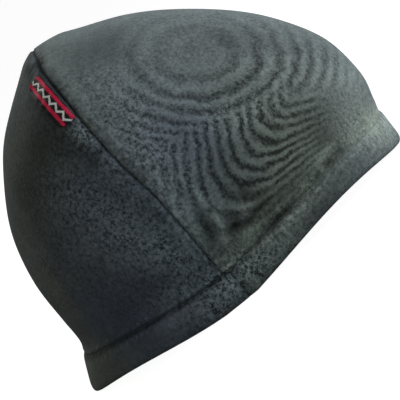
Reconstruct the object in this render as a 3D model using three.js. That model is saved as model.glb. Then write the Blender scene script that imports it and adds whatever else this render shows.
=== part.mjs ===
// A close-fitting fleece cap of two panels, standing on its hem. Millimetres, +Z up.
// The forehead faces -Y, the wearer's right ear is on the -X side, and z = 0 is the surface that the cap stands on.
// One seam runs from ear to ear over the crown, in the plane y = SEAM_Y, and parts the front panel from the back one.
import * as THREE from "three";

// Driving dimensions
const CROWN_HEIGHT = 156.8;
const FRONT_REACH = 124.3; // from the crown seam to the fullest part of the forehead
const BACK_REACH = 88.9; // from the crown seam to the edge of the hem at the nape
const HALF_WIDTH = 80.5;
const FLEECE = 2;
const HEM_HEIGHT = 17;
const SEAM_GAP = 0.4;
const HEM_GAP = 0.3;
// How far the hem lifts off the surface between an ear and the forehead or nape: the most it lifts, the height
// at which that has died away, and how sharply the lift is drawn in to its middle
const FRONT_ARCH = { rise: 6, fade: 36, power: 1.25 };
const BACK_ARCH = { rise: 4.4, fade: 75, power: 2 };
const ARCH_FLAT = 0.09; // share of that lift's wave that lies flat on the surface
// The label: the heights on the seam between which it lies, its near and far edge from the seam, and how it lies
const LABEL = { from: 121, to: 152, near: 0.8, far: 12, gap: 0.35, thick: 1 };

const SEAM_Y = (FRONT_REACH - BACK_REACH) / 2; // centres the cap on the origin

// Level sections from the hem's edge to the top of the crown, as shares of the driving dimensions
const SECTIONS = [
  { height: 0, back: 1, front: 0.954, side: 0.963 },
  { height: HEM_HEIGHT / CROWN_HEIGHT, back: 0.909, front: 0.961, side: 0.976 },
  { height: 0.159, back: 0.877, front: 0.976, side: 0.985 },
  { height: 0.254, back: 0.873, front: 1, side: 0.997 },
  { height: 0.406, back: 0.857, front: 0.975, side: 0.991 },
  { height: 0.552, back: 0.791, front: 0.88, side: 0.951 },
  { height: 0.679, back: 0.681, front: 0.744, side: 0.871 },
  { height: 0.8, back: 0.514, front: 0.576, side: 0.742 },
  { height: 0.895, back: 0.32, front: 0.39, side: 0.573 },
  { height: 0.962, back: 0.148, front: 0.199, side: 0.367 },
  { height: 0.987, back: 0.073, front: 0.12, side: 0.225 },
  { height: 1, back: 0, front: 0, side: 0 },
];
const HEM_LINE = 1; // the section where the hem's stitching runs
const TOP = SECTIONS.length - 1;
const RIDGE_LOW = 0.94; // how much the seam is creased outwards at the hem, where 1 is a smooth ellipse
const RIDGE_RISE = 0.36; // and how much more at the crown

// The folded hem's outline, from the surface up: outer and inner faces as offsets from the fleece's outer surface
const HEM_PROFILE = [
  { up: 0, outer: -0.5, inner: -2.7 },
  { up: 0.7, outer: 0.1, inner: -3.2 },
  { up: 2.4, outer: 0.6, inner: -3.3 },
  { up: 9, outer: 0.8, inner: -3.3 },
  { up: 14.8, outer: 0.5, inner: -3.1 },
  { up: HEM_HEIGHT - HEM_GAP, outer: -0.1, inner: -2.2 },
];

// Facets
const COLUMNS = 44;
const ROWS_PER_SECTION = 2;
const LABEL_ROWS = 14;
const LABEL_COLUMNS = 6;

// Smooth curve through the sections: a Catmull-Rom spline in the row number, level at the top of the crown
function sectionAt(row) {
  const last = Math.min(Math.floor(row), TOP - 1);
  const t = row - last;
  const mirrored = { ...SECTIONS[TOP - 1] };
  for (const key of ["back", "front", "side"]) mirrored[key] *= -1;
  const [a, b, c, d] = [
    SECTIONS[Math.max(last - 1, 0)],
    SECTIONS[last],
    SECTIONS[last + 1],
    SECTIONS[last + 2] ?? mirrored,
  ];
  const blend = (key) =>
    b[key] +
    0.5 * t * (c[key] - a[key] + t * (2 * a[key] - 5 * b[key] + 4 * c[key] - d[key] +
      t * (3 * (b[key] - c[key]) + d[key] - a[key])));
  return {
    height: blend("height") * CROWN_HEIGHT,
    back: blend("back") * BACK_REACH,
    front: blend("front") * FRONT_REACH,
    side: blend("side") * HALF_WIDTH,
    ridge: RIDGE_LOW + RIDGE_RISE * blend("height") ** 2,
  };
}

// The row number at which the sections reach a height
function rowAtHeight(height) {
  let [low, high] = [0, TOP];
  for (let i = 0; i < 40; i++) {
    const middle = (low + high) / 2;
    if (sectionAt(middle).height < height) low = middle;
    else high = middle;
  }
  return (low + high) / 2;
}

// The hem touches the surface at both ears, the forehead and the nape, and lifts a little between them
function archLift(height, angle, facing) {
  const { rise, fade, power } = facing < 0 ? FRONT_ARCH : BACK_ARCH;
  const wave = Math.abs(Math.sin(2 * angle)) ** power;
  return rise * (Math.max(0, wave - ARCH_FLAT) / (1 - ARCH_FLAT)) * Math.max(0, 1 - height / fade);
}

// A point of the fleece's outer surface. angle runs from the right ear, 0, to the left ear, pi, and
// facing is -1 for the front panel and 1 for the back panel.
function surfacePoint(row, angle, facing) {
  const { height, back, front, side, ridge } = sectionAt(row);
  const reach = (facing < 0 ? front : back) * Math.max(0, Math.sin(angle)) ** ridge;
  return new THREE.Vector3(
    -side * Math.cos(angle),
    SEAM_Y + facing * (SEAM_GAP / 2 + reach),
    height + archLift(height, angle, facing),
  );
}

// The direction straight out of that surface, kept in the seam's plane along the seam
function outwardAt(row, angle, facing) {
  if (row >= TOP) return new THREE.Vector3(0, 0, 1);
  const step = 0.02;
  const along = surfacePoint(Math.min(row + step, TOP), angle, facing)
    .sub(surfacePoint(Math.max(row - step, 0), angle, facing));
  if (Math.sin(angle) < 1e-6) {
    return new THREE.Vector3(0, -Math.cos(angle), 0).cross(along).normalize();
  }
  return surfacePoint(row, angle + step, facing)
    .sub(surfacePoint(row, angle - step, facing))
    .multiplyScalar(-facing)
    .cross(along)
    .normalize();
}

// A closed wall between two grids of points with the same rows and columns
function wall(name, material, outer, inner, facing) {
  const positions = [];
  const triangle = (a, b, c) => {
    if (a.distanceTo(b) < 1e-5 || b.distanceTo(c) < 1e-5 || c.distanceTo(a) < 1e-5) return;
    const corners = facing < 0 ? [a, b, c] : [a, c, b];
    for (const corner of corners) positions.push(corner.x, corner.y, corner.z);
  };
  const quad = (a, b, c, d) => {
    triangle(a, b, c);
    triangle(a, c, d);
  };
  const rows = outer.length - 1;
  const columns = outer[0].length - 1;
  for (let i = 0; i < rows; i++) {
    for (let j = 0; j < columns; j++) {
      quad(outer[i][j], outer[i][j + 1], outer[i + 1][j + 1], outer[i + 1][j]);
      quad(inner[i][j], inner[i + 1][j], inner[i + 1][j + 1], inner[i][j + 1]);
    }
    quad(outer[i][0], outer[i + 1][0], inner[i + 1][0], inner[i][0]);
    quad(inner[i][columns], inner[i + 1][columns], outer[i + 1][columns], outer[i][columns]);
  }
  for (let j = 0; j < columns; j++) {
    quad(inner[0][j], inner[0][j + 1], outer[0][j + 1], outer[0][j]);
    quad(outer[rows][j], outer[rows][j + 1], inner[rows][j + 1], inner[rows][j]);
  }
  const geometry = new THREE.BufferGeometry();
  geometry.setAttribute("position", new THREE.Float32BufferAttribute(positions, 3));
  geometry.computeVertexNormals();
  const mesh = new THREE.Mesh(geometry, material);
  mesh.name = name;
  return mesh;
}

// One grid of points from a function of the row and column
function grid(rows, columns, point) {
  return Array.from({ length: rows + 1 }, (_, i) =>
    Array.from({ length: columns + 1 }, (_, j) => point(i, j)),
  );
}

const angleOf = (column) => (Math.PI * column) / COLUMNS;

// A panel: one layer of fleece from the hem's stitching up to the crown, its lower edge cut level
function panel(name, facing) {
  const rows = (TOP - HEM_LINE) * ROWS_PER_SECTION;
  const face = (depth) =>
    grid(rows, COLUMNS, (i, j) => {
      const row = HEM_LINE + i / ROWS_PER_SECTION;
      const out = outwardAt(row, angleOf(j), facing);
      if (i === 0) out.setZ(0).normalize();
      return surfacePoint(row, angleOf(j), facing).addScaledVector(out, -depth);
    });
  return wall(name, fleece, face(0), face(FLEECE), facing);
}

// A hem: the fleece folded to the inside, a rounded band that follows the panel's lower edge
function hem(name, facing) {
  const face = (key) =>
    grid(HEM_PROFILE.length - 1, COLUMNS, (i, j) => {
      const { up, [key]: offset } = HEM_PROFILE[i];
      const row = rowAtHeight(up);
      const out = outwardAt(row, angleOf(j), facing).setZ(0).normalize();
      return surfacePoint(row, angleOf(j), facing).addScaledVector(out, offset);
    });
  return wall(name, fleece, face("outer"), face("inner"), facing);
}

// Where a panel's surface lies at a distance straight out from the seam's plane: its row and angle, found by
// moving in from the seam, at right angles to it, until the surface is reached
function besideSeam(seamRow, distance, facing) {
  const seam = surfacePoint(seamRow, 0, facing);
  const out = outwardAt(seamRow, 0, facing);
  let [low, high] = [0, distance];
  for (let i = 0; i < 30; i++) {
    const depth = (low + high) / 2;
    const place = seam.clone().addScaledVector(out, -depth);
    const row = rowAtHeight(place.z);
    const { back, front, side, ridge } = sectionAt(row);
    const reach = facing < 0 ? front : back;
    const inside = (place.x / side) ** 2 + (distance / reach) ** (2 / ridge) < 1;
    if (inside) high = depth;
    else low = depth;
  }
  const row = rowAtHeight(seam.z - out.z * high);
  const { back, front, ridge } = sectionAt(row);
  const reach = facing < 0 ? front : back;
  return { row, angle: Math.asin((distance / reach) ** (1 / ridge)) };
}

// The label: a small woven strip caught in the crown seam, lying on the back panel by the right side of the crown
function label() {
  const facing = 1;
  const face = (lift) =>
    grid(LABEL_ROWS, LABEL_COLUMNS, (i, j) => {
      const seamRow = rowAtHeight(THREE.MathUtils.lerp(LABEL.from, LABEL.to, i / LABEL_ROWS));
      const distance = THREE.MathUtils.lerp(LABEL.near, LABEL.far, j / LABEL_COLUMNS);
      const { row, angle } = besideSeam(seamRow, distance, facing);
      return surfacePoint(row, angle, facing).addScaledVector(outwardAt(row, angle, facing), lift);
    });
  return wall("label", labelTape, face(LABEL.gap + LABEL.thick), face(LABEL.gap), facing);
}

const fleece = new THREE.MeshStandardMaterial({ color: 0x474d4c, roughness: 0.95, metalness: 0 });
const labelTape = new THREE.MeshStandardMaterial({ color: 0x7e1626, roughness: 0.7, metalness: 0 });

const cap = new THREE.Group();
cap.add(
  panel("front_panel", -1),
  panel("back_panel", 1),
  hem("front_hem", -1),
  hem("back_hem", 1),
  label(),
);

export default cap;
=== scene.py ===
"""A close-fitting cap of two fleece panels, standing on its folded hem on a white studio floor.

Metres, +Z up. The forehead faces -Y, the wearer's right ear is on the -X side, and the crown seam runs near
the plane y = SEAM_Y. Every piece of cloth is a grid of points worked out from the cap's level sections.
"""

import bmesh
import bpy
import numpy as np
from mathutils import Matrix, Vector


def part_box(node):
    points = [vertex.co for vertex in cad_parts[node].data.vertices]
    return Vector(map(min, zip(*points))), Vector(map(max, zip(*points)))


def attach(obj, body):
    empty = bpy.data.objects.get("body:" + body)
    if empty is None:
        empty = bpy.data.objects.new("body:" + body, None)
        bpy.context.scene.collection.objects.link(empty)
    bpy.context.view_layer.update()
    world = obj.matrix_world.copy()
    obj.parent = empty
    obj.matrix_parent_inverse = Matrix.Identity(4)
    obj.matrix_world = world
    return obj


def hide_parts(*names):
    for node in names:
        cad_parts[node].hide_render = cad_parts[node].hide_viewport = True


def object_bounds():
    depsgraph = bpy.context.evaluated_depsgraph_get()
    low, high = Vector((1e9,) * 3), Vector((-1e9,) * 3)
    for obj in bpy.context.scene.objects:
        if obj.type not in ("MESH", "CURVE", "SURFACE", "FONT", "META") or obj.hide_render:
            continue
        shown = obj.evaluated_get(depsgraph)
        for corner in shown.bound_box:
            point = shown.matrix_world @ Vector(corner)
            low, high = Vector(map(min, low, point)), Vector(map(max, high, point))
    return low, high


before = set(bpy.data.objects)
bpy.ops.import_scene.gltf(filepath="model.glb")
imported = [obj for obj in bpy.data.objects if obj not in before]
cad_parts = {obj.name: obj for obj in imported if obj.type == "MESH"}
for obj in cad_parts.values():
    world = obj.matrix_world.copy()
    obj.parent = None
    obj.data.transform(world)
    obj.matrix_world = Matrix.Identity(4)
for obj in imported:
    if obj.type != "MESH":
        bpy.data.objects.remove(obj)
cad_low, cad_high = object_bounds()

MM = 0.001

# The cap's driving sizes, from the frame where its boxes give them
CROWN_HEIGHT = cad_high[2]
FRONT_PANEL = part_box("front_panel")
SEAM_GAP = 0.4 * MM  # between the two panels
SEAM_Y = FRONT_PANEL[1][1] + SEAM_GAP / 2
FRONT_REACH = SEAM_Y - FRONT_PANEL[0][1] - SEAM_GAP / 2
BACK_REACH = 88.9 * MM
HALF_WIDTH = 80.5 * MM
HEM_HEIGHT = 17 * MM

# The wave in the hem's edge, which lifts it off the floor between each ear and the forehead or nape
FRONT_ARCH = {"rise": 6.6 * MM, "fade": 36 * MM, "power": 1, "lean": 1, "tallest": 0.77}
BACK_ARCH = {"rise": 4.4 * MM, "fade": 75 * MM, "power": 2, "lean": 0, "tallest": 1}
ARCH_FLAT = 0.09  # the share of the wave that is cut off flat at its foot

# Level sections from the hem's edge to the top of the crown, as shares of the driving sizes
SECTION_COLUMNS = ("height", "back", "front", "side")
SECTIONS = np.array(
    [
        (0, 1, 0.954, 0.963),
        (HEM_HEIGHT / CROWN_HEIGHT, 0.909, 0.961, 0.976),
        (0.159, 0.877, 0.976, 0.985),
        (0.254, 0.873, 1, 0.997),
        (0.406, 0.857, 0.975, 0.991),
        (0.552, 0.791, 0.88, 0.951),
        (0.679, 0.681, 0.744, 0.871),
        (0.8, 0.514, 0.576, 0.742),
        (0.895, 0.32, 0.39, 0.573),
        (0.962, 0.148, 0.199, 0.367),
        (0.987, 0.073, 0.12, 0.225),
        (1, 0, 0, 0),
    ]
)
HEM_LINE = 1  # the row of the hem's stitches
TOP = len(SECTIONS) - 1

# The power that shapes half a level, which rises up the cap: 1 gives half an oval, less is fuller, and more
# comes to a soft edge at the seam
RIDGE_LOW = 0.94
RIDGE_RISE = 0.36

# How the crown seam wanders, and how the fold pulls its foot askew
SEAM_BOW = {"low": -2.7 * MM, "high": 2.8 * MM, "turns_at": 82 * MM, "over": 18 * MM, "fade": 9 * MM}
HEM_TWIST = {"forward": 3.6 * MM, "over": 1.2 * MM}

FRONT, BACK = -1, 1  # the way along Y in which each panel bulges


# The cap's surface


def sections_at(row):
    """The level sections at any row number, by a Catmull-Rom spline that comes to the crown level."""
    before = SECTIONS[:1]
    beyond = SECTIONS[-2:-1] * (1, -1, -1, -1)
    table = np.vstack([before, SECTIONS, beyond])
    first = np.clip(np.floor(row), 0, TOP - 1).astype(int)
    t = (row - first)[..., None]
    a, b, c, d = (table[first + k] for k in range(4))
    curve = b + 0.5 * t * (c - a + t * (2 * a - 5 * b + 4 * c - d + t * (3 * (b - c) + d - a)))
    share = dict(zip(SECTION_COLUMNS, np.moveaxis(curve, -1, 0)))
    return {
        "height": share["height"] * CROWN_HEIGHT,
        "back": share["back"] * BACK_REACH,
        "front": share["front"] * FRONT_REACH,
        "side": share["side"] * HALF_WIDTH,
        "ridge": RIDGE_LOW + RIDGE_RISE * share["height"] ** 2,
    }


HEIGHT_STEPS = 4000


def row_at(height):
    """The row number at which the sections reach a height, looked up in close steps."""
    rows = np.linspace(0, TOP, HEIGHT_STEPS)
    return np.interp(height, sections_at(rows)["height"], rows)


def arch_lift(height, angle, facing):
    """A wave round the hem, by the sine of twice the angle. It lies flat at ears, forehead and nape and
    dies away up the panel, and the front's wave leans towards the ears."""
    arch = FRONT_ARCH if facing == FRONT else BACK_ARCH
    wave = np.abs(np.sin(2 * angle)) * np.abs(np.cos(angle)) ** arch["lean"]
    wave = (wave / arch["tallest"]) ** arch["power"]
    flat_cut = np.maximum(0, wave - ARCH_FLAT) / (1 - ARCH_FLAT)
    return arch["rise"] * flat_cut * np.maximum(0, 1 - height / arch["fade"])


def seam_bow(height):
    """How far the sewn seam wanders off its plane: forward low down, back above, and none at the crown.
    Below the hem's stitches it steps forward again."""
    climb = 0.5 + 0.5 * np.tanh((height - SEAM_BOW["turns_at"]) / SEAM_BOW["over"])
    bow = SEAM_BOW["low"] + (SEAM_BOW["high"] - SEAM_BOW["low"]) * climb
    bow = bow - HEM_TWIST["forward"] * (0.5 - 0.5 * np.tanh((height - HEM_HEIGHT) / HEM_TWIST["over"]))
    return bow * np.clip((CROWN_HEIGHT - height) / SEAM_BOW["fade"], 0, 1)


def surface(row, angle, facing):
    """Points of the smooth cap. Each level is half an oval: across by the cosine of the angle, and out
    from the seam's plane by a power of its sine, so that the two halves meet in a soft ridge. Near the
    seam the points wander with it."""
    at = sections_at(row)
    reach = at["front" if facing == FRONT else "back"]
    across = -at["side"] * np.cos(angle)
    share = np.maximum(0, np.sin(angle)) ** at["ridge"]
    up = at["height"] + arch_lift(at["height"], angle, facing)
    out = SEAM_Y + facing * reach * share + seam_bow(up) * (1 - share**2) ** 2
    return np.stack([across, out, up], axis=-1)


def outward(points, facing, meets_seam=True):
    """Unit normals of a grid of surface points, by the cross product of its two directions. Where its sides
    meet the seam, the normals stay in the seam's plane."""
    along = np.gradient(points, axis=0)
    around = np.gradient(points, axis=1)
    out = -facing * np.cross(around, along)
    if meets_seam:
        out[:, (0, -1), 1] = 0
    out /= np.maximum(np.linalg.norm(out, axis=-1, keepdims=True), 1e-12)
    return out


def run(points, axis):
    """Length from a grid's first line of points to each point, along one of its axes."""
    steps = np.linalg.norm(np.diff(points, axis=axis), axis=-1)
    return np.concatenate([np.zeros_like(steps.take([0], axis)), np.cumsum(steps, axis)], axis)


def bell(distance, width):
    """A bell curve: 1 at no distance, and e to minus the square of the distance in widths."""
    return np.exp(-((distance / width) ** 2))


SWELL_LENGTHS = (0.7, 1.5)  # shares of a swell's length between which its waves lie


def swell(points, length, seed, waves=10):
    """Slow uneven waves: plane waves of about one length in random directions, added up."""
    rng = np.random.default_rng(seed)
    directions = rng.normal(size=(waves, 3))
    directions /= np.linalg.norm(directions, axis=1, keepdims=True)
    lengths = length * rng.uniform(*SWELL_LENGTHS, waves)
    phases = rng.uniform(0, 2 * np.pi, waves)
    turns = points @ (directions / lengths[:, None]).T
    return np.sin(2 * np.pi * turns + phases).sum(axis=-1) / np.sqrt(waves)


# Making meshes


def shell(name, outer, inner, facing, marks):
    """A closed wall: the outer and inner grids, joined along their four edges. marks are numbers per outer
    point that the materials read, and the inner points take them too."""
    rows, columns = outer.shape[:2]
    index = np.arange(rows * columns).reshape(rows, columns)
    back = index + rows * columns

    def quads(a, b, c, d):
        """Faces whose corners come from four equal grids of point numbers."""
        return np.stack([a, b, c, d], axis=-1).reshape(-1, 4)

    faces = np.vstack(
        [
            quads(index[:-1, :-1], index[:-1, 1:], index[1:, 1:], index[1:, :-1]),
            quads(back[:-1, :-1], back[1:, :-1], back[1:, 1:], back[:-1, 1:]),
            quads(index[:-1, 0], index[1:, 0], back[1:, 0], back[:-1, 0]),
            quads(back[:-1, -1], back[1:, -1], index[1:, -1], index[:-1, -1]),
            quads(back[0, :-1], back[0, 1:], index[0, 1:], index[0, :-1]),
            quads(index[-1, :-1], index[-1, 1:], back[-1, 1:], back[-1, :-1]),
        ]
    )
    if facing == BACK:
        faces = faces[:, ::-1]
    points = np.concatenate([outer.reshape(-1, 3), inner.reshape(-1, 3)])
    piece = mesh_piece(name, points, faces)
    for mark, values in marks.items():
        layer = piece.data.attributes.new(mark, "FLOAT", "POINT")
        layer.data.foreach_set("value", np.tile(values.ravel(), 2).astype(np.float32))
    close_doubles(piece)
    return piece


def mesh_piece(name, points, faces):
    """A smooth-shaded object at the origin, from arrays of points and of faces with equally many corners."""
    mesh = bpy.data.meshes.new(name)
    mesh.vertices.add(len(points))
    mesh.vertices.foreach_set("co", np.ascontiguousarray(points, dtype=np.float32).ravel())
    corners = faces.shape[1]
    mesh.loops.add(faces.size)
    mesh.loops.foreach_set("vertex_index", np.ascontiguousarray(faces, dtype=np.int32).ravel())
    mesh.polygons.add(len(faces))
    mesh.polygons.foreach_set("loop_start", np.arange(0, faces.size, corners, dtype=np.int32))
    mesh.polygons.foreach_set("use_smooth", np.ones(len(faces), dtype=bool))
    mesh.update(calc_edges=True)
    mesh.validate()
    piece = bpy.data.objects.new(name, mesh)
    bpy.context.scene.collection.objects.link(piece)
    return piece


def close_doubles(piece, distance=0.002 * MM):
    """Joins points that coincide, such as those of the crown's pole."""
    work = bmesh.new()
    work.from_mesh(piece.data)
    bmesh.ops.remove_doubles(work, verts=work.verts, dist=distance)
    work.to_mesh(piece.data)
    work.free()


def place_copies(name, points, faces, places, along, out):
    """One mesh of many copies of a small shape, each turned so that its X runs along and its Z points out."""
    across = np.cross(out, along)
    turned = np.stack([along, across, out], axis=1)
    all_points = np.einsum("pk,nkc->npc", points, turned) + places[:, None, :]
    all_faces = faces[None] + (np.arange(len(places)) * len(points))[:, None, None]
    return mesh_piece(name, all_points.reshape(-1, 3), all_faces.reshape(-1, faces.shape[1]))


THREAD_DIP = 1.2  # how many of its own radii a thread's ends dip


def thread_loop(length, radius, sides=8, rings=7):
    """A stitch's thread: a rod along X whose ends taper and dip into the cloth, by the fourth power of the
    way from its middle."""
    t = np.linspace(-1, 1, rings)
    turn = np.linspace(0, 2 * np.pi, sides, endpoint=False)
    thick = radius * np.sqrt(np.maximum(0, 1 - t**4))
    dip = -THREAD_DIP * radius * t**4
    ring = np.stack([np.zeros(sides), np.cos(turn), np.sin(turn)], axis=-1)
    centre = np.stack([t * length / 2, np.zeros(rings), dip], axis=-1)
    points = centre[:, None] + ring * thick[:, None, None]
    index = np.arange(rings * sides).reshape(rings, sides)
    after = np.roll(index, -1, axis=1)
    faces = np.stack([index[:-1], index[1:], after[1:], after[:-1]], axis=-1).reshape(-1, 4)
    return points.reshape(-1, 3), faces


# The cloth

FLEECE = 2 * MM
PANEL_ROWS_PER_SECTION = 16
PANEL_COLUMNS = {FRONT: 260, BACK: 240}
SEAM_CLUSTER = 0.86  # how strongly a panel's columns gather at its seam edges, where 1 is all they can

SEAM_GROOVE = {"deep": 0.7 * MM, "wide": 0.8 * MM}
SEAM_ROLL = {"high": 0.5 * MM, "off": 4.5 * MM, "wide": 3.4 * MM}
SEAM_PUCKER = {"high": 0.42 * MM, "every": 8 * MM, "reach": 9 * MM, "clear": 1.5 * MM, "seed": 3}
SEAM_ARC = {"radius": 88 * MM, "middle": 66 * MM}  # of a circle that runs near the seam, to measure along it
HEM_GROOVE = {"deep": 0.9 * MM, "wide": 1.5 * MM, "at_forehead": 0.3}
HEM_PUCKER = {"high": 0.2 * MM, "every": 7 * MM, "reach": 7 * MM, "clear": 1 * MM, "seed": 5}
HEM_ARC = 95 * MM  # radius of a circle that runs near the hem
DRAWN_IN = {"ahead": 28 * MM, "over": 16 * MM}  # where, ahead of the seam, the hem begins to be drawn in
SLACK = {"high": 0.4 * MM, "length": 46 * MM, "seed": 11}
CROWN_CALM = 6 * MM  # how far below the crown the cloth stays smooth

# How unevenly puckers are spaced: two slow waves push them along by these angles in radians, and are from the
# shortest to the longest of these numbers of puckers long
PUCKER_DRIFT = {"shortest": 3.1, "longest": 5.3, "first": 1.9, "second": 1.3}


def seam_angles(columns):
    """Angles from ear to ear: even steps less a sine, so that they gather at both ends, where the seam's
    groove needs close columns."""
    share = np.linspace(0, 1, columns + 1)
    return np.pi * (share - SEAM_CLUSTER * np.sin(2 * np.pi * share) / (2 * np.pi))


def pucker(form, distance, along):
    """Sine ripples of uneven length that run in from a line of stitches and die away over their reach. At
    the stitches they are pressed flat."""
    rng = np.random.default_rng(form["seed"])
    slow = rng.uniform(PUCKER_DRIFT["shortest"], PUCKER_DRIFT["longest"], 2) * form["every"]
    drift = PUCKER_DRIFT["first"] * np.sin(2 * np.pi * along / slow[0])
    drift += PUCKER_DRIFT["second"] * np.sin(2 * np.pi * along / slow[1] + 1)
    ripple = np.sin(2 * np.pi * along / form["every"] + drift)
    fading = form["high"] * ripple * np.exp(-distance / form["reach"])
    return fading * (1 - bell(distance, form["clear"]))


def from_seam(points):
    """Distance along Y to the wandering seam."""
    return np.abs(points[..., 1] - SEAM_Y - seam_bow(points[..., 2]))


def towards_back(points):
    """0 on the forehead, rising by a hyperbolic tangent to 1 past the ears, where the hem is drawn in
    tightest."""
    return 0.5 + 0.5 * np.tanh((points[..., 1] - SEAM_Y + DRAWN_IN["ahead"]) / DRAWN_IN["over"])


# Marks on the cloth are placed on a flat drawing of the cap's side, tilted and leaning as the photograph
# shows it. Its middle is a point of the cap, in mm
DRAWING_TILT = np.radians(39.6)
DRAWING_LEAN = np.radians(8.9)
DRAWING_MIDDLE = {"y": 0.4, "z": 41}


def on_drawing(points):
    """Millimetres across and down the drawing: the points turned by its two angles. Both sides of the cap
    fall on it alike."""
    x, y, z = np.moveaxis(points / MM, -1, 0)
    forward = DRAWING_MIDDLE["y"] - y
    up = (z - DRAWING_MIDDLE["z"]) * np.cos(DRAWING_LEAN) - np.abs(x) * np.sin(DRAWING_LEAN)
    across = np.cos(DRAWING_TILT) * forward - np.sin(DRAWING_TILT) * up
    down = -np.sin(DRAWING_TILT) * forward - np.cos(DRAWING_TILT) * up
    return across, down


def patches(points, table):
    """The sum of a table's ovals, each a bell in its own two directions."""
    across, down = on_drawing(points)
    total = 0
    for middle, half, degrees, gain in table:
        turn = np.radians(degrees)
        off_across, off_down = across - middle[0], down - middle[1]
        long = off_across * np.cos(turn) + off_down * np.sin(turn)
        wide = off_down * np.cos(turn) - off_across * np.sin(turn)
        total = total + gain * bell(long, half[0]) * bell(wide, half[1])
    return total


# Patches are ovals on the drawing. Each row gives an oval's middle and half lengths in mm, its turn in
# degrees and how strong it is. The first ones are creases by the place where the seam meets the hem, whose
# strength is in mm: above 0 for a ridge and below for a valley
CREASES = (
    ((38.5, 9.5), (14, 2.4), -45, -1),
    ((43.5, 11.5), (13, 2.4), -45, 0.4),
    ((27, 6.5), (8, 2), -52, -0.7),
    ((18.5, 12.5), (7, 2.2), -20, -0.7),
    ((21.3, 6), (3.5, 3), 0, 0.4),
    ((27, 14.5), (5, 2.6), -50, 0.5),
    ((21.3, 17.5), (3.5, 4), 0, 0.3),
    ((9.5, 13.5), (10, 1.9), 70, 0.8),
    ((4.5, 16), (10, 3), 68, -0.7),
    ((1, 1), (9, 2.6), 48, 0.7),
    ((14, 5), (8, 2.4), 65, -0.4),
)
CREASE_PAINTED_LIGHT = 0.9  # how much lighter a crease is for each mm that it rises: painted light on its ridges and painted shade in its valleys


def relief(points, from_stitches):
    """How far the cloth stands off the smooth cap: a groove and a soft roll along the crown seam, puckers
    that run in from the seam and from the hem's stitches, a little slack, and the creases."""
    x, y, z = np.moveaxis(points, -1, 0)
    off = from_seam(points)
    groove = -SEAM_GROOVE["deep"] * bell(off, SEAM_GROOVE["wide"])
    roll = SEAM_ROLL["high"] * bell(off - SEAM_ROLL["off"], SEAM_ROLL["wide"])
    along_seam = SEAM_ARC["radius"] * np.arctan2(x, z - SEAM_ARC["middle"])
    seam_ripples = pucker(SEAM_PUCKER, off, along_seam)
    along_hem = HEM_ARC * np.arctan2(y, x)
    hem_ripples = pucker(HEM_PUCKER, from_stitches, along_hem)
    slack = SLACK["high"] * swell(points, SLACK["length"], SLACK["seed"])
    near_crown = bell(CROWN_HEIGHT - z, CROWN_CALM)
    creases = patches(points, CREASES) * MM
    return groove + creases + (roll + seam_ripples + hem_ripples + slack) * (1 - near_crown)


# Where the pile is brushed up, which makes it paler and speckled, or pressed flat and smooth
BRUSHED_PATCHES = (
    ((-40, 12), (40, 15), 32, 0.6),
    ((-12, 28), (18, 8), 32, 0.5),
    ((-58, -32), (8, 4.5), 45, 1.7),
    ((-42, -14), (12, 5), 50, 0.5),
    ((24, 33), (20, 9), -35, 1),
    ((8, 50), (14, 9), -30, 0.7),
    ((-14, 46), (15, 5), -32, 0.35),
    ((-28, -30), (34, 11), 50, 0.6),
    ((18, -42), (26, 9), -20, 0.5),
    ((48, 0), (22, 6), -42, 0.35),
    ((74, -38), (10, 10), 0, 0.25),
    ((-60, -76), (30, 12), -20, -0.3),
    ((-46, 74), (44, 28), -30, -0.3),
    ((-90, 0), (14, 50), 0, -0.2),
)
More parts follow.
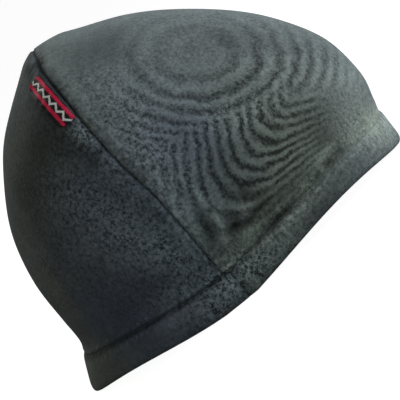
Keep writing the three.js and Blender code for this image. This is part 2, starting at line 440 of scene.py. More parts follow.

# Where the cloth is painted lighter or darker than its own tone: mostly painted shade in folds, beside the
# tag and along the hem's lower edge, and painted light on ridges and on the hem's front tip, with some slow
# unevenness of the cloth
PAINTED_LIGHT_AND_TONE_PATCHES = (
    ((-20, -15), (22, 12), 50, 0.2),
    ((-26, -36), (26, 9), 8, -0.3),
    ((44, -46), (34, 15), 10, -0.36),
    ((60, -32), (10, 9), 0, -0.25),
    ((55, -6), (18, 6), -42, -0.38),
    ((14, -26), (26, 22), 0, -0.25),
    ((78, -36), (12, 16), 45, 0.4),
    ((94, -36), (8, 14), 40, 1),
    ((74, -64), (10, 14), 30, 0.25),
    ((-82, -68), (4, 8), 0, -0.55),
    ((-12, 6), (15, 4), 55, 1),
    ((-6, 16), (14, 7), 50, 0.4),
    ((12, 1), (5, 12), -30, 0.4),
    ((23, -3), (5, 2.5), 0, -0.5),
    ((16, -6), (13, 5), 0, -0.3),
    ((17, 12), (3.5, 6), 0, -0.35),
    ((38, 1), (13, 5), -45, -0.42),
    ((68, -42), (9, 18), 25, -0.2),
    ((44, 18), (14, 6), -42, 0.3),
    ((59, 6), (14, 2.5), -45, -0.4),
    ((62, -23.5), (7, 1.8), -50, 1),
    ((65, -20), (10, 1.9), -46, -0.6),
    ((-72, -56), (14, 2.6), 48, -0.6),
    ((-68, -40), (10, 3), 45, -0.4),
    ((-54, -24), (9, 6), 45, -0.6),
    ((-72, -30), (14, 14), 0, -0.45),
    ((-84, -6), (10, 28), 0, -0.22),
    ((-26, -3), (14, 5), 48, -0.2),
    ((-43.5, -17.5), (4.5, 3.5), 45, 0.35),
    ((-37.5, -11.5), (3.5, 3), 45, -0.25),
    ((-30, -2.5), (4.5, 3), 45, 0.35),
    ((-34, 70), (14, 8), -28, -0.2),
    ((28, -80), (42, 10), 8, -0.42),
    ((-50, -76), (15, 9), -20, -0.35),
    ((-38, 26), (26, 11), 15, 0.5),
    ((-14, 49), (15, 7), -20, 0.3),
    ((-45, -5), (5, 4), 45, -0.25),
    ((-70, 0), (10, 10), 0, 0.15),
    ((-8, 4), (18, 5), 0, 0.15),
    ((-20, 15), (9, 5), 30, 0.25),
    ((-84.7, -70.5), (2, 3), 30, 0.8),
    ((-82.5, -64.5), (1.5, 3), 0, 0.9),
    ((-80.5, -69), (2, 5), -20, -0.5),
    ((-87, -65), (2.5, 4), 10, -0.5),
    ((-80, 38), (8, 26), -25, 0.45),
    ((-60, 58), (8, 14), -35, 0.4),
    ((-10, 58), (14, 6), -30, 0.4),
    ((5, 37), (4, 2.5), -35, 0.7),
    ((13, 32.5), (5, 2), -40, 0.35),
    ((10, 42.5), (5, 3), -35, 0.25),
    ((-14, 60), (6, 2.5), -25, 0.35),
)

# Where the cloth has a warm olive cast, above 0, or a cool blue one, below. The warm cast along the back
# panel's rear edge is painted warm light from behind; the others are the cloth's own uneven colour
CAST_AND_WARM_LIGHT_PATCHES = (
    ((42, -28), (46, 34), 0, 0.4),
    ((34, 16), (38, 20), -40, 0.5),
    # Painted warm light along the back panel's rear edge
    ((-92, -20), (16, 60), 0, 0.45),
    ((-72, -28), (16, 14), 0, 0.35),
    ((-50, 84), (22, 18), 0, 0.45),
    ((92, -36), (12, 14), 40, 0.35),
    ((37, 36), (24, 6), -43, 0.4),
    ((-72, 50), (8, 22), -30, 0.35),
    ((-6, -30), (26, 20), 20, -0.45),
    ((-20, 22), (18, 10), 0, 0.15),
    ((-40, 62), (24, 18), 20, -0.5),
)


# Tone beside the stitches, as shares of the cloth's own. The painted shade along the seam's groove grows
# stronger and wider up the cap, the painted shade in the hem's groove grows towards the back, and small
# uneven waves break up every line
UNEVEN = {"length": 3 * MM, "seed": 29}
CLIMB = {"from": 0.2, "most": 0.6}  # of the cap's height
SEAM_WIDE = {"low": 0.5, "climb": 0.5, "uneven": 0.15, "least": 0.35, "most": 1.1}  # mm
SEAM_PAINTED_SHADE = {"low": 0.38, "climb": 0.4, "uneven": 0.15, "shade": 0.12, "shade_wide": 2.2 * MM}
STITCHES_PAINTED_SHADE = {"forehead": 0.05, "back": 0.58, "uneven": 0.3, "wide": 1.4 * MM}
WORN = {"share": 0.2, "length": 14 * MM, "seed": 23}
WORN_SEAM = {"off": 6 * MM, "wide": 5 * MM}
WORN_HEM = {"off": 4 * MM, "wide": 4 * MM}
FLECKS = {"share": 0.5, "hem_gain": 1.4}
FLECKED_SEAM = {"off": 1.8 * MM, "wide": 1 * MM}
FLECKED_HEM = {"off": 3 * MM, "wide": 1.4 * MM}
BRUSHED_TONE = 0.9  # how much lighter fully brushed pile is
BRUSHED_RANGE = (-0.3, 1.5)  # from pile pressed flat to pile fully brushed up
TONE_RANGE = (0.1, 2.5)


def cloth_marks(points, from_stitches):
    """How light the cloth is, how far its pile is brushed up, and how warm it is. The tone carries painted
    shade in the seam's and the hem's grooves, and is paler in worn bands and small flecks beside them, all by
    bells of the distance from the stitches. It also carries the painted light and shade of the patches and
    the creases."""
    off = from_seam(points)
    climb = np.clip(points[..., 2] / CROWN_HEIGHT - CLIMB["from"], 0, CLIMB["most"])
    uneven = swell(points, UNEVEN["length"], UNEVEN["seed"])
    wide = SEAM_WIDE["low"] + SEAM_WIDE["climb"] * climb + SEAM_WIDE["uneven"] * uneven
    wide = np.clip(wide, SEAM_WIDE["least"], SEAM_WIDE["most"]) * MM
    # Painted shade: a dark line in the seam's groove with a softer shade beside it, then a dark line in the
    # hem's groove
    dark = SEAM_PAINTED_SHADE["low"] + SEAM_PAINTED_SHADE["climb"] * climb + SEAM_PAINTED_SHADE["uneven"] * uneven
    groove = dark * bell(off, wide) + SEAM_PAINTED_SHADE["shade"] * bell(off, SEAM_PAINTED_SHADE["shade_wide"])
    dark = STITCHES_PAINTED_SHADE["forehead"] + STITCHES_PAINTED_SHADE["back"] * towards_back(points)
    groove += dark * (1 + STITCHES_PAINTED_SHADE["uneven"] * uneven) * bell(from_stitches, STITCHES_PAINTED_SHADE["wide"])
    beside = bell(off - WORN_SEAM["off"], WORN_SEAM["wide"])
    beside += bell(from_stitches - WORN_HEM["off"], WORN_HEM["wide"])
    rubbed = WORN["share"] * beside * np.clip(swell(points, WORN["length"], WORN["seed"]), 0, 1)
    flecks = bell(off - FLECKED_SEAM["off"], FLECKED_SEAM["wide"])
    flecks += FLECKS["hem_gain"] * bell(from_stitches - FLECKED_HEM["off"], FLECKED_HEM["wide"])
    rubbed += FLECKS["share"] * flecks * np.clip(uneven, 0, 1)
    brushed = np.clip(patches(points, BRUSHED_PATCHES), *BRUSHED_RANGE)
    # Painted light and shade of the patches, and of the creases: lighter on their ridges, darker in their
    # valleys
    painted_light_and_tone = patches(points, PAINTED_LIGHT_AND_TONE_PATCHES) + CREASE_PAINTED_LIGHT * patches(points, CREASES)
    tone = (1 + rubbed + BRUSHED_TONE * np.maximum(0, brushed) + painted_light_and_tone) * (1 - groove)
    cast = np.clip(0.5 + patches(points, CAST_AND_WARM_LIGHT_PATCHES), 0, 1)
    return {"tone": np.clip(tone, *TONE_RANGE), "brushed": brushed, "cast": cast}


# Watered marks, where the knit's fine ribs run nearly level with one another: rings round a point high on
# the front panel, and below them nested bends that start level, turn, and run up the cloth. Lengths are in mm
# on the drawing, a turn runs from one dark line to the next, and a bend's swing is in degrees
RINGS = {"at": (-2.5, -72.5), "stretch": 1.45, "start": 0.067, "first": 0.0453, "closer": 0.00187}
BENDS = {"focus": (103.5, -58.5), "left_from": 45, "left_every": 5.25}
BEND_SWING = {"from": 4, "first": 0.126, "closer": 0.0034}
BEND_CORNER = 2.6  # how sharply a bend turns, where 2 is a quarter circle
RINGS_END = {"across": -12.5, "down": -30, "slope": 0.5, "highest": -57, "soft": 4}

# Where the watered marks are strong: only on cloth that faces the wearer's right, and less at their ends
ON_SIDE = {"gain": 1.6, "from": 0.25}
RING_DEPTH = {"most": 0.65, "strongest": 34, "wide": 36, "calm": 0.75, "calm_wide": 14}
RING_LEFT = {"from": -52, "over": 44, "least": 0.12}
BEND_DEPTH = {"most": 0.88, "across": 26, "wide": 44, "down": -26, "tall": 46}
BEND_ENDS = {"off_hem": 10 * MM, "right": 66, "over": 11}


def watered_marks(points, out, from_stitches):
    """Phases in radians and depths of the rings and the bends, shown on the wearer's right side. A ring's
    phase grows with its radius and that radius squared. A bend's joins its distance from the left and its
    swing about the focus in a rounded corner."""
    across, down = on_drawing(points)
    ring_across, ring_down = across - RINGS["at"][0], down - RINGS["at"][1]
    radius = np.hypot(ring_across / RINGS["stretch"], ring_down)
    ring_turns = RINGS["start"] + RINGS["first"] * radius + RINGS["closer"] * radius**2
    left = np.maximum(0, BENDS["left_from"] - across) / BENDS["left_every"]
    swing = np.degrees(np.arctan2(down - BENDS["focus"][1], BENDS["focus"][0] - across))
    swing = np.maximum(0, swing - BEND_SWING["from"])
    level = BEND_SWING["first"] * swing + BEND_SWING["closer"] * swing**2
    bend_turns = (left**BEND_CORNER + level**BEND_CORNER) ** (1 / BEND_CORNER)
    border = RINGS_END["down"] - RINGS_END["slope"] * (across - RINGS_END["across"])
    below = down - np.maximum(border, RINGS_END["highest"])
    bend_share = 0.5 + 0.5 * np.tanh(below / RINGS_END["soft"])
    on_side = np.clip(-ON_SIDE["gain"] * out[..., 0] - ON_SIDE["from"], 0, 1)
    from_left = np.clip((across - RING_LEFT["from"]) / RING_LEFT["over"], RING_LEFT["least"], 1)
    ring_depth = RING_DEPTH["most"] * (1 - bend_share) * on_side
    ring_depth *= 1 - RING_DEPTH["calm"] * bell(radius, RING_DEPTH["calm_wide"])
    ring_depth *= bell(radius - RING_DEPTH["strongest"], RING_DEPTH["wide"])
    ring_depth *= from_left
    bend_depth = BEND_DEPTH["most"] * bend_share * on_side
    bend_depth *= bell(across - BEND_DEPTH["across"], BEND_DEPTH["wide"])
    bend_depth *= bell(down - BEND_DEPTH["down"], BEND_DEPTH["tall"])
    bend_depth *= 1 - bell(from_stitches, BEND_ENDS["off_hem"])
    bend_depth *= np.clip((BEND_ENDS["right"] - across) / BEND_ENDS["over"], 0, 1)
    return {
        "ring_phase": 2 * np.pi * ring_turns,
        "ring_depth": ring_depth,
        "bend_phase": 2 * np.pi * bend_turns,
        "bend_depth": bend_depth,
    }


def panel(name, facing):
    """One panel: the smooth cap with the cloth's relief laid on it, and its wall's thickness inwards. At
    the crown's pole all columns share one height and a level top, and the lowest row's wall is level."""
    rows = np.linspace(HEM_LINE, TOP, (TOP - HEM_LINE) * PANEL_ROWS_PER_SECTION + 1)
    row, angle = np.meshgrid(rows, seam_angles(PANEL_COLUMNS[facing]), indexing="ij")
    base = surface(row, angle, facing)
    out = outward(base, facing)
    out[-1] = (0, 0, 1)
    from_stitches = run(base, 0)
    shallow = HEM_GROOVE["at_forehead"]
    deep = HEM_GROOVE["deep"] * (shallow + (1 - shallow) * towards_back(base))
    lift = relief(base, from_stitches) - deep * bell(from_stitches, HEM_GROOVE["wide"])
    lift[-1] = lift[-1, 0]
    outer = base + out * lift[..., None]
    out[0, :, 2] = 0
    out[0] /= np.linalg.norm(out[0], axis=-1, keepdims=True)
    inner = outer - out * FLEECE
    marks = cloth_marks(base, from_stitches)
    if facing == FRONT:
        marks.update(watered_marks(base, out, from_stitches))
    return shell(name, outer, inner, facing, marks)


HEM_THICKNESS = 4.6 * MM
HEM_CENTRE = -1.5 * MM  # of the hem's section, from the smooth cap's surface
HEM_SQUARENESS = 4.4  # power of the section's superellipse, where 2 is an oval
HEM_ROWS = 24
HEM_TUCK = 0.5 * MM  # how far the hem's top reaches up behind the panel's edge
FOLD_PAINTED_SHADE = {"share": 0.18, "wide": 2.5 * MM}  # painted shade along the foot of the fold, where the hem meets the floor


def hem_band(name, facing):
    """The folded hem: a superellipse section carried round the rim, drawn in at its stitches and fold."""
    turn = np.linspace(-np.pi / 2, np.pi / 2, HEM_ROWS + 1)[:, None]
    power = 2 / HEM_SQUARENESS
    up = (HEM_HEIGHT + HEM_TUCK) / 2 * (1 + np.sign(turn) * np.abs(np.sin(turn)) ** power)
    half = HEM_THICKNESS / 2 * np.maximum(np.cos(turn), 0) ** power
    angle = seam_angles(PANEL_COLUMNS[facing])[None, :]
    up, half, angle = np.broadcast_arrays(up, half, angle)
    base = surface(row_at(up), angle, facing)
    out = outward(base, facing)
    out[..., 2] = 0
    out /= np.linalg.norm(out, axis=-1, keepdims=True)
    from_stitches = np.abs(HEM_HEIGHT - up)
    puff = relief(base, from_stitches) * half / half.max()
    outer = base + out * (HEM_CENTRE + half + puff)[..., None]
    inner = base + out * (HEM_CENTRE - half)[..., None]
    marks = cloth_marks(base, from_stitches)
    # Painted shade along the foot of the hem's fold
    marks["tone"] = marks["tone"] * (1 - FOLD_PAINTED_SHADE["share"] * bell(up, FOLD_PAINTED_SHADE["wide"]))
    return shell(name, outer, inner, facing, marks)


STITCH = {"every": 3.6 * MM, "long": 3.1 * MM, "radius": 0.24 * MM, "above": 0.5 * MM, "sunk": 0.65 * MM}
STITCH_ENDS = 0.012  # radians from the seam at which a panel's stitches start and stop
STITCH_SAMPLES = 2000  # points on the line along which they are spaced


def topstitch(name):
    """The stitches that hold the hem: one thread loop after another round the cap, just above the hem's
    edge, at even steps of the line's length."""
    loop_points, loop_faces = thread_loop(STITCH["long"], STITCH["radius"])
    places, alongs, outs = [], [], []
    for facing in (FRONT, BACK):
        angle = np.linspace(STITCH_ENDS, np.pi - STITCH_ENDS, STITCH_SAMPLES)[None, :]
        height = HEM_HEIGHT + np.array([[0], [STITCH["above"]], [2 * STITCH["above"]]]) + angle * 0
        base = surface(row_at(height), angle + height * 0, facing)
        out = outward(base, facing, meets_seam=False)[1]
        line = base[1] + out * (relief(base, height - HEM_HEIGHT)[1] - STITCH["sunk"])[:, None]
        length = np.concatenate([[0], np.cumsum(np.linalg.norm(np.diff(line, axis=0), axis=1))])
        count = int(length[-1] / STITCH["every"])
        stops = (np.arange(count) + 0.5) / count * length[-1]
        places.append(np.stack([np.interp(stops, length, line[:, k]) for k in range(3)], axis=-1))
        ahead = np.stack([np.interp(stops, length, np.gradient(line[:, k])) for k in range(3)], axis=-1)
        alongs.append(ahead / np.linalg.norm(ahead, axis=1, keepdims=True))
        side = np.stack([np.interp(stops, length, out[:, k]) for k in range(3)], axis=-1)
        side -= alongs[-1] * (side * alongs[-1]).sum(axis=1, keepdims=True)
        outs.append(side / np.linalg.norm(side, axis=1, keepdims=True))
    return place_copies(name, loop_points, loop_faces, *map(np.concatenate, (places, alongs, outs)))


# The tag

# The tag's heights on the seam, its edges behind the seam and how far its top leans back, and its corners,
# whose curve draws in the near edge by one share and both edges together by the other
TAG = {"from": 121.5 * MM, "to": 147 * MM}
TAG_EDGES = {"near": 0.2 * MM, "wide": 9.8 * MM, "lean": 1.5 * MM}
TAG_CORNER = {"radius": 4 * MM, "near": 0.5, "both": 1.4}
TAG_THICKNESS = 0.7 * MM
TAG_GAP = 0.15 * MM
TAG_CURL = {"high": 0.9 * MM, "power": 4}  # how far its free edge lifts off the cloth
TAG_ROWS, TAG_COLUMNS = 90, 24
CLEAR_OF_HEM = 1  # metres, further than the hem's stitches reach
HALVINGS = 30


def beside_seam(height, off):
    """Row and angle of the back panel's surface at a distance behind the seam, level with a point of the
    seam: from that point straight into the head, halving the depth until it lies on the cap."""
    angle = np.zeros(height.shape)
    row = row_at(height)
    seam = surface(row, angle, BACK)
    step = 0.01
    slope = surface(np.minimum(row + step, TOP), angle, BACK) - surface(row - step, angle, BACK)
    into = np.stack([-slope[..., 2], 0 * height, slope[..., 0]], axis=-1)
    into *= np.sign(into[..., :1] * -seam[..., :1])
    into /= np.linalg.norm(into, axis=-1, keepdims=True)
    low, high = np.zeros(height.shape), 0 * height + off
    for _ in range(HALVINGS):
        depth = (low + high) / 2
        place = seam + into * depth[..., None]
        at = sections_at(row_at(place[..., 2]))
        inside = (place[..., 0] / at["side"]) ** 2 + (off / at["back"]) ** (2 / at["ridge"]) < 1
        low, high = np.where(inside, low, depth), np.where(inside, depth, high)
    row = row_at((seam + into * high[..., None])[..., 2])
    at = sections_at(row)
    return row, np.arcsin((off / at["back"]) ** (1 / at["ridge"]))


def woven_tag(name):
    """The tag sewn into the seam: a grid beside the seam that follows the cloth. Its corners are drawn in
    along quarter circles, and its free edge lifts by a power of the way across."""
    u = np.linspace(0, 1, TAG_ROWS + 1)[:, None]
    v = np.linspace(0, 1, TAG_COLUMNS + 1)[None, :]
    height = TAG["from"] + (TAG["to"] - TAG["from"]) * (u + 0 * v)
    seam_line = surface(row_at(height[:, 0]), np.zeros(TAG_ROWS + 1), BACK)
    along = run(seam_line[:, None], 0)
    to_end = np.minimum(along, along[-1] - along)
    radius = TAG_CORNER["radius"]
    inset = radius - np.sqrt(radius**2 - np.maximum(0, radius - to_end) ** 2)
    near = TAG_EDGES["near"] + TAG_EDGES["lean"] * u
    off = near + inset * TAG_CORNER["near"] + (TAG_EDGES["wide"] - TAG_CORNER["both"] * inset) * v
    row, angle = beside_seam(height, off)
    base = surface(row, angle, BACK)
    out = outward(base, BACK, meets_seam=False)
    lift = relief(base, 0 * off + CLEAR_OF_HEM) + TAG_GAP + TAG_CURL["high"] * v ** TAG_CURL["power"]
    lower = base + out * lift[..., None]
    upper = lower + out * TAG_THICKNESS
    marks = {"tag_along": (along + 0 * v) / MM, "tag_across": (off - near) / MM}
    return shell(name, upper, lower, BACK, marks)


# Materials


def linear(code):
    """An sRGB hex colour as linear RGBA."""
    srgb = np.array([int(code[k : k + 2], 16) for k in (0, 2, 4)]) / 255
    rgb = np.where(srgb <= 0.04045, srgb / 12.92, ((srgb + 0.055) / 1.055) ** 2.4)
    return (*rgb.tolist(), 1)


def node(tree, kind, inputs=None, **settings):
    """Adds a node with its settings. Each input takes a value, a node's output, or a node for its first
    output."""
    made = tree.nodes.new(f"ShaderNode{kind}")
    for key, value in settings.items():
        setattr(made, key, value)
    for key, value in (inputs or {}).items():
        source = value.outputs[0] if isinstance(value, bpy.types.Node) else value
        if isinstance(source, bpy.types.NodeSocket):
            tree.links.new(source, made.inputs[key])
        else:
            made.inputs[key].default_value = source
    return made


def new_material(name):
    """A material with no nodes yet, and its node tree."""
    material = bpy.data.materials.new(name)
    material.use_nodes = True
    material.node_tree.nodes.clear()
    return material, material.node_tree


PILE = 0.55 * MM  # of the brushed pile's tufts, drawn about twice as coarse as they are so that they show
MOTTLE = 13 * MM  # of the slow cloudy patches
CLOUDS = 0.35  # how far they lighten and darken the cloth
SPECKLE = {"least": 1.6, "brushed": 3.4}  # its contrast on flat pile, and what brushed pile adds
TUFTS = {"least": 0.5, "brushed": 1.2}  # the same for its height
FINE_ROUGHNESS = 0.75  # of the speckle's noise, where more is grittier
MIDDLE = 0.5  # of a noise texture's range

# What the two casts multiply the cloth's colour by
WARM_CAST = (1.16, 1.12, 0.88, 1)
COOL_CAST = (0.9, 0.89, 1.08, 1)

# The marks that the materials read
CLOTH_MARKS = ("tone", "brushed", "cast")
WATERED_MARKS = ("ring_phase", "ring_depth", "bend_phase", "bend_depth")

# How rings and bends fray: a long and a short noise shift their lines by up to half of these angles, in
# radians, and a third one leaves gaps in them
FRAY_LONG = {"size": 8 * MM, "turn": 5.5}
FRAY_SHORT = {"size": 1.5 * MM, "turn": 3.6, "roughness": 0.7}
FRAY_GAPS = {"size": 4 * MM, "gain": 2, "least": -0.1}
WATERED_SUNK = 0.4  # how deep a dark line is in the bump, where fine pile is 1


def brushed_fleece(name, dark, light, tuft, watered=0.0):
    """Polyester fleece with a brushed face: a matt cloth whose short pile catches light unevenly. It gives
    the eye a fine speckle where it is brushed up and slow cloudy patches. Its tone mark brings painted shade
    in the grooves along the stitches, and painted light and shade elsewhere. Shade is noise times contrast,
    plus clouds, less a cosine of the watered marks' phases."""
    material, tree = new_material(name)
    place = node(tree, "TexCoord").outputs["Object"]
    names = CLOTH_MARKS + WATERED_MARKS if watered else CLOTH_MARKS
    marks = {mark: node(tree, "Attribute", attribute_name=mark).outputs["Fac"] for mark in names}
    inputs = {"Vector": place, "Scale": 1 / tuft, "Detail": 3, "Roughness": FINE_ROUGHNESS}
    fine = node(tree, "TexNoise", inputs)
    slow = node(tree, "TexNoise", {"Vector": place, "Scale": 1 / MOTTLE})
    pile = node(tree, "TexNoise", {"Vector": place, "Scale": 1 / PILE, "Roughness": 0.6})
    inputs = {0: marks["brushed"], 1: SPECKLE["brushed"], 2: SPECKLE["least"]}
    contrast = node(tree, "Math", inputs, operation="MULTIPLY_ADD")
    shade = node(tree, "Math", {0: fine, 1: -MIDDLE}, operation="ADD")
    shade = node(tree, "Math", {0: shade, 1: contrast, 2: MIDDLE - CLOUDS / 2}, operation="MULTIPLY_ADD")
    shade = node(tree, "Math", {0: slow, 1: CLOUDS, 2: shade}, operation="MULTIPLY_ADD")
    inputs = {0: marks["brushed"], 1: TUFTS["brushed"], 2: TUFTS["least"]}
    tufts = node(tree, "Math", inputs, operation="MULTIPLY_ADD")
    height = node(tree, "Math", {0: fine, 1: tufts, 2: pile}, operation="MULTIPLY_ADD")
    if watered:
        drift = node(tree, "TexNoise", {"Vector": place, "Scale": 1 / FRAY_LONG["size"]})
        inputs = {"Vector": place, "Scale": 1 / FRAY_SHORT["size"], "Roughness": FRAY_SHORT["roughness"]}
        fray = node(tree, "TexNoise", inputs)
        gaps = node(tree, "TexNoise", {"Vector": place, "Scale": 1 / FRAY_GAPS["size"]})
        inputs = {0: gaps, 1: FRAY_GAPS["gain"], 2: FRAY_GAPS["least"]}
        whole = node(tree, "Math", inputs, operation="MULTIPLY_ADD")
        short_turn, long_turn = FRAY_SHORT["turn"], FRAY_LONG["turn"]
        inputs = {0: fray, 1: short_turn, 2: -MIDDLE * short_turn}
        shift = node(tree, "Math", inputs, operation="MULTIPLY_ADD")
        shift = node(tree, "Math", {0: drift, 1: long_turn, 2: shift}, operation="MULTIPLY_ADD")
        shift = node(tree, "Math", {0: shift, 1: -MIDDLE * long_turn}, operation="ADD")
        for kind in ("ring", "bend"):
            turned = node(tree, "Math", {0: shift, 1: marks[f"{kind}_phase"]}, operation="ADD")
            wave = node(tree, "Math", {0: turned}, operation="COSINE")
            wave = node(tree, "Math", {0: wave, 1: marks[f"{kind}_depth"]}, operation="MULTIPLY")
            wave = node(tree, "Math", {0: wave, 1: whole}, operation="MULTIPLY")
            shade = node(tree, "Math", {0: wave, 1: -watered, 2: shade}, operation="MULTIPLY_ADD")
            height = node(tree, "Math", {0: wave, 1: -WATERED_SUNK, 2: height}, operation="MULTIPLY_ADD")
    cloth = node(tree, "Mix", {0: shade, 6: linear(dark), 7: linear(light)}, data_type="RGBA").outputs[2]
    cast = node(tree, "Mix", {0: marks["cast"], 6: COOL_CAST, 7: WARM_CAST}, data_type="RGBA").outputs[2]
    cloth = node(tree, "VectorMath", {0: cloth, 1: cast}, operation="MULTIPLY")
    toned = node(tree, "VectorMath", {0: cloth, "Scale": marks["tone"]}, operation="SCALE")
    bump = node(tree, "Bump", {"Strength": 0.6, "Distance": 0.35 * MM, "Height": height})
    inputs = {
        "Base Color": toned,
        "Roughness": 0.95,
        "Specular IOR Level": 0.1,
        "Sheen Weight": 0.08,
        "Sheen Roughness": 0.6,
        "Sheen Tint": linear("b9c9cc"),
        "Normal": bump,
    }
    node(tree, "OutputMaterial", {"Surface": node(tree, "BsdfPrincipled", inputs)})
    return material


TAG_STRIPE = {"near": 2.4, "far": 8, "half": 0.85}  # mm across the tag
TAG_ZIGZAG = {"middle": 5.2, "swing": 1.2, "every": 6.4, "half": 0.7}
TAG_RIB = 0.9  # mm between the tape's ribs, about twice the real spacing so that they show
RIB_TONE = {"middle": 0.85, "swing": 0.22}
TAG_WOBBLE = {"size": 1.2 * MM, "high": 1.1, "rib": 0.15}  # how unevenly the stripes' threads lie, in mm


def woven_tape(name, ground, red, light):
    """Woven polyester tape: close, slightly glossy threads that give the eye fine ribs across the tag, with
    a red stripe along each edge and a light zigzag thread between them. Ribs are a sine of the way along,
    and stripes and thread are places across within half their width."""
    material, tree = new_material(name)
    along = node(tree, "Attribute", attribute_name="tag_along").outputs["Fac"]
    across = node(tree, "Attribute", attribute_name="tag_across").outputs["Fac"]
    turned = node(tree, "Math", {0: along, 1: 2 * np.pi / TAG_RIB}, operation="MULTIPLY")
    rib = node(tree, "Math", {0: turned}, operation="SINE")
    place = node(tree, "TexCoord").outputs["Object"]
    wobble = node(tree, "TexNoise", {"Vector": place, "Scale": 1 / TAG_WOBBLE["size"]})
    frayed = node(tree, "Math", {0: rib, 1: TAG_WOBBLE["rib"], 2: across}, operation="MULTIPLY_ADD")
    frayed = node(tree, "Math", {0: wobble, 1: TAG_WOBBLE["high"], 2: frayed}, operation="MULTIPLY_ADD")
    half = TAG_STRIPE["half"]
    near = node(tree, "Math", {0: frayed, 1: TAG_STRIPE["near"], 2: half}, operation="COMPARE")
    far = node(tree, "Math", {0: frayed, 1: TAG_STRIPE["far"], 2: half}, operation="COMPARE")
    striped = node(tree, "Math", {0: near, 1: far}, operation="MAXIMUM")
    climb = node(tree, "Math", {0: along, 1: TAG_ZIGZAG["every"] / 2}, operation="PINGPONG")
    steep = 4 * TAG_ZIGZAG["swing"] / TAG_ZIGZAG["every"]
    lowest = TAG_ZIGZAG["middle"] - TAG_ZIGZAG["swing"]
    path = node(tree, "Math", {0: climb, 1: steep, 2: lowest}, operation="MULTIPLY_ADD")
    zigzag = node(tree, "Math", {0: frayed, 1: path, 2: TAG_ZIGZAG["half"]}, operation="COMPARE")
    tape = node(tree, "Mix", {0: striped, 6: linear(ground), 7: linear(red)}, data_type="RGBA").outputs[2]
    tape = node(tree, "Mix", {0: zigzag, 6: tape, 7: linear(light)}, data_type="RGBA").outputs[2]
    inputs = {0: rib, 1: RIB_TONE["swing"], 2: RIB_TONE["middle"]}
    shade = node(tree, "Math", inputs, operation="MULTIPLY_ADD")
    shaded = node(tree, "VectorMath", {0: tape, "Scale": shade}, operation="SCALE")
    bump = node(tree, "Bump", {"Strength": 0.5, "Distance": 0.15 * MM, "Height": rib})
    inputs = {"Base Color": shaded, "Roughness": 0.55, "Specular IOR Level": 0.3, "Normal": bump}
    node(tree, "OutputMaterial", {"Surface": node(tree, "BsdfPrincipled", inputs)})
    return material


PLY = {"size": 0.4 * MM, "lighter": 2}  # how a thread's colour varies along its strands


def spun_thread(name, colour):
    """Spun polyester thread: thin, dark and dull, so a line of stitches reads as a broken dark line."""
    material, tree = new_material(name)
    place = node(tree, "TexCoord").outputs["Object"]
    ply = node(tree, "TexNoise", {"Vector": place, "Scale": 1 / PLY["size"], "Detail": 1})
    lighter = (*(PLY["lighter"] * part for part in linear(colour)[:3]), 1)
    tint = node(tree, "Mix", {0: ply, 6: linear(colour), 7: lighter}, data_type="RGBA").outputs[2]
    inputs = {"Base Color": tint, "Roughness": 0.8, "Specular IOR Level": 0.2}
    node(tree, "OutputMaterial", {"Surface": node(tree, "BsdfPrincipled", inputs)})
    return material


# The front panel's nap lies down, which shows a greyer cloth and its watered marks. The back panel's stands
# up, which shows a darker and bluer one; its darker copy is also painted shade, for the back lies in shade.
# The hem is in between
front_fleece = brushed_fleece("fleece_nap_down", dark="2b3133", light="778385", tuft=1.8 * MM, watered=0.62)
back_fleece_with_painted_shade = brushed_fleece("fleece_nap_up_with_painted_shade", dark="1d2326", light="616c74", tuft=1.9 * MM)
hem_fleece = brushed_fleece("fleece_folded_hem", dark="252b2e", light="6a757c", tuft=2 * MM)
tag_tape = woven_tape("woven_polyester_tape", ground="141518", red="e0244e", light="f4f8f4")
dark_thread = spun_thread("spun_polyester_thread", colour="31383a")


# The cap's pieces


def dress(piece, material, slot, *replaced):
    """Gives a piece its material and its body, and hides the CAD nodes that it stands for. The slot is not
    used.
    """
    piece.data.materials.append(material)
    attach(piece, "root")
    if replaced:
        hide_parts(*replaced)
    return piece


dress(panel("front_cloth", FRONT), front_fleece, "fleece", "front_panel")
dress(panel("back_cloth", BACK), back_fleece_with_painted_shade, "fleece", "back_panel")
dress(hem_band("front_hem_band", FRONT), hem_fleece, "hem", "front_hem")
dress(hem_band("back_hem_band", BACK), hem_fleece, "hem", "back_hem")
dress(topstitch("hem_topstitch"), dark_thread, "hem")
dress(woven_tag("woven_tag"), tag_tape, "label", "label")


# The studio

FLOOR_SIZE = 12.0  # metres
floor_mesh = bpy.data.meshes.new("studio_floor")
corners = [(x * FLOOR_SIZE / 2, y * FLOOR_SIZE / 2, 0) for x, y in ((-1, -1), (1, -1), (1, 1), (-1, 1))]
floor_mesh.from_pydata(corners, [], [(0, 1, 2, 3)])
floor = bpy.data.objects.new("studio_floor", floor_mesh)
bpy.context.scene.collection.objects.link(floor)

# White paper with a glow of its own, so that it reads white with almost no shadow
paper, tree = new_material("white_paper_floor")
lit = node(tree, "BsdfDiffuse", {"Color": linear("808080")})
glow = node(tree, "Emission", {"Color": (1, 1, 1, 1), "Strength": 0.96})
node(tree, "OutputMaterial", {"Surface": node(tree, "AddShader", {0: lit, 1: glow})})
floor_mesh.materials.append(paper)
floor.visible_diffuse = False
floor.visible_glossy = False

# A white backdrop for the camera, of which the cap itself gets only a little light
BACKDROP_LIGHT = 0.04
world = bpy.context.scene.world or bpy.data.worlds.new("studio")
bpy.context.scene.world = world
world.use_nodes = True
tree = world.node_tree
tree.nodes.clear()
seen = node(tree, "LightPath").outputs["Is Camera Ray"]
strength = node(tree, "Math", {0: seen, 1: BACKDROP_LIGHT}, operation="ADD")
backdrop = node(tree, "Background", {"Color": (1, 1, 1, 1), "Strength": strength})
node(tree, "OutputWorld", {"Surface": backdrop})

LIGHT_DISTANCE = 1.3  # metres from the cap's middle


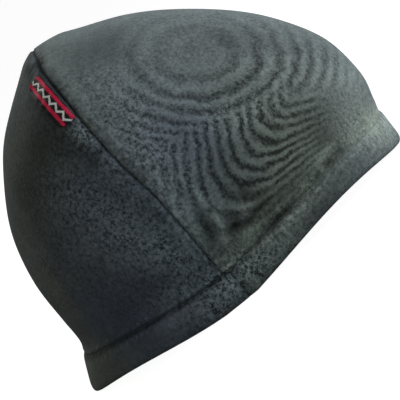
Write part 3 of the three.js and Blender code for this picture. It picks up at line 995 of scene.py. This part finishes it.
def soft_light(name, bearing, height, power, size, colour="ffffff"):
    """A square softbox aimed at the cap's middle. Its bearing runs from the forehead towards the wearer's
    right ear, and its height is above the floor, both in degrees."""
    data = bpy.data.lights.new(name, "AREA")
    data.shape = "SQUARE"
    data.size = size
    data.energy = power
    data.color = linear(colour)[:3]
    lamp = bpy.data.objects.new(name, data)
    middle = Vector((0, 0, CROWN_HEIGHT / 2))
    turn, rise = np.radians(bearing), np.radians(height)
    towards = Vector((-np.sin(turn) * np.cos(rise), -np.cos(turn) * np.cos(rise), np.sin(rise)))
    lamp.location = middle + towards * LIGHT_DISTANCE
    lamp.rotation_mode = "QUATERNION"
    lamp.rotation_quaternion = (-towards).to_track_quat("-Z", "Y")
    bpy.context.scene.collection.objects.link(lamp)
    return lamp


soft_light("front_key", bearing=0, height=10, power=14.5, size=0.6)
soft_light("front_top", bearing=5, height=42, power=6.5, size=0.7)
soft_light("far_front", bearing=-28, height=10, power=6, size=0.6, colour="f4f8ff")
soft_light("near_fill", bearing=85, height=8, power=4.3, size=0.8, colour="d6e4f4")
soft_light("back_warm", bearing=152, height=35, power=2, size=0.7, colour="ffe4b8")
soft_light("far_side", bearing=-110, height=30, power=7, size=0.8)


# The photograph's view: from the wearer's right, a little above, with the picture turned

AZIMUTH, ELEVATION, ROLL = np.radians(270), DRAWING_LEAN, -DRAWING_TILT
DISTANCE = 1.25
AIM = np.array([0, 0.00042, 0.041])  # the point in the middle of the picture
LENS_MM = 215.4
SENSOR_MM = 36

ahead = np.array(
    [-np.sin(AZIMUTH) * np.cos(ELEVATION), np.cos(AZIMUTH) * np.cos(ELEVATION), -np.sin(ELEVATION)]
)
level_right = np.array([np.cos(AZIMUTH), np.sin(AZIMUTH), 0])
level_up = np.cross(level_right, ahead)
right = np.cos(ROLL) * level_right + np.sin(ROLL) * level_up
up = -np.sin(ROLL) * level_right + np.cos(ROLL) * level_up
camera_data = bpy.data.cameras.new("photograph_view")
camera_data.lens = LENS_MM
camera_data.sensor_width = SENSOR_MM
camera_data.clip_start = 0.05
camera_data.clip_end = 50
camera = bpy.data.objects.new("photograph_view", camera_data)
bpy.context.scene.collection.objects.link(camera)
turn = Matrix(np.column_stack([right, up, -ahead]).tolist()).to_4x4()
camera.matrix_world = Matrix.Translation(Vector((AIM - ahead * DISTANCE).tolist())) @ turn
bpy.context.scene.camera = camera
bpy.context.scene.view_settings.view_transform = "Standard"
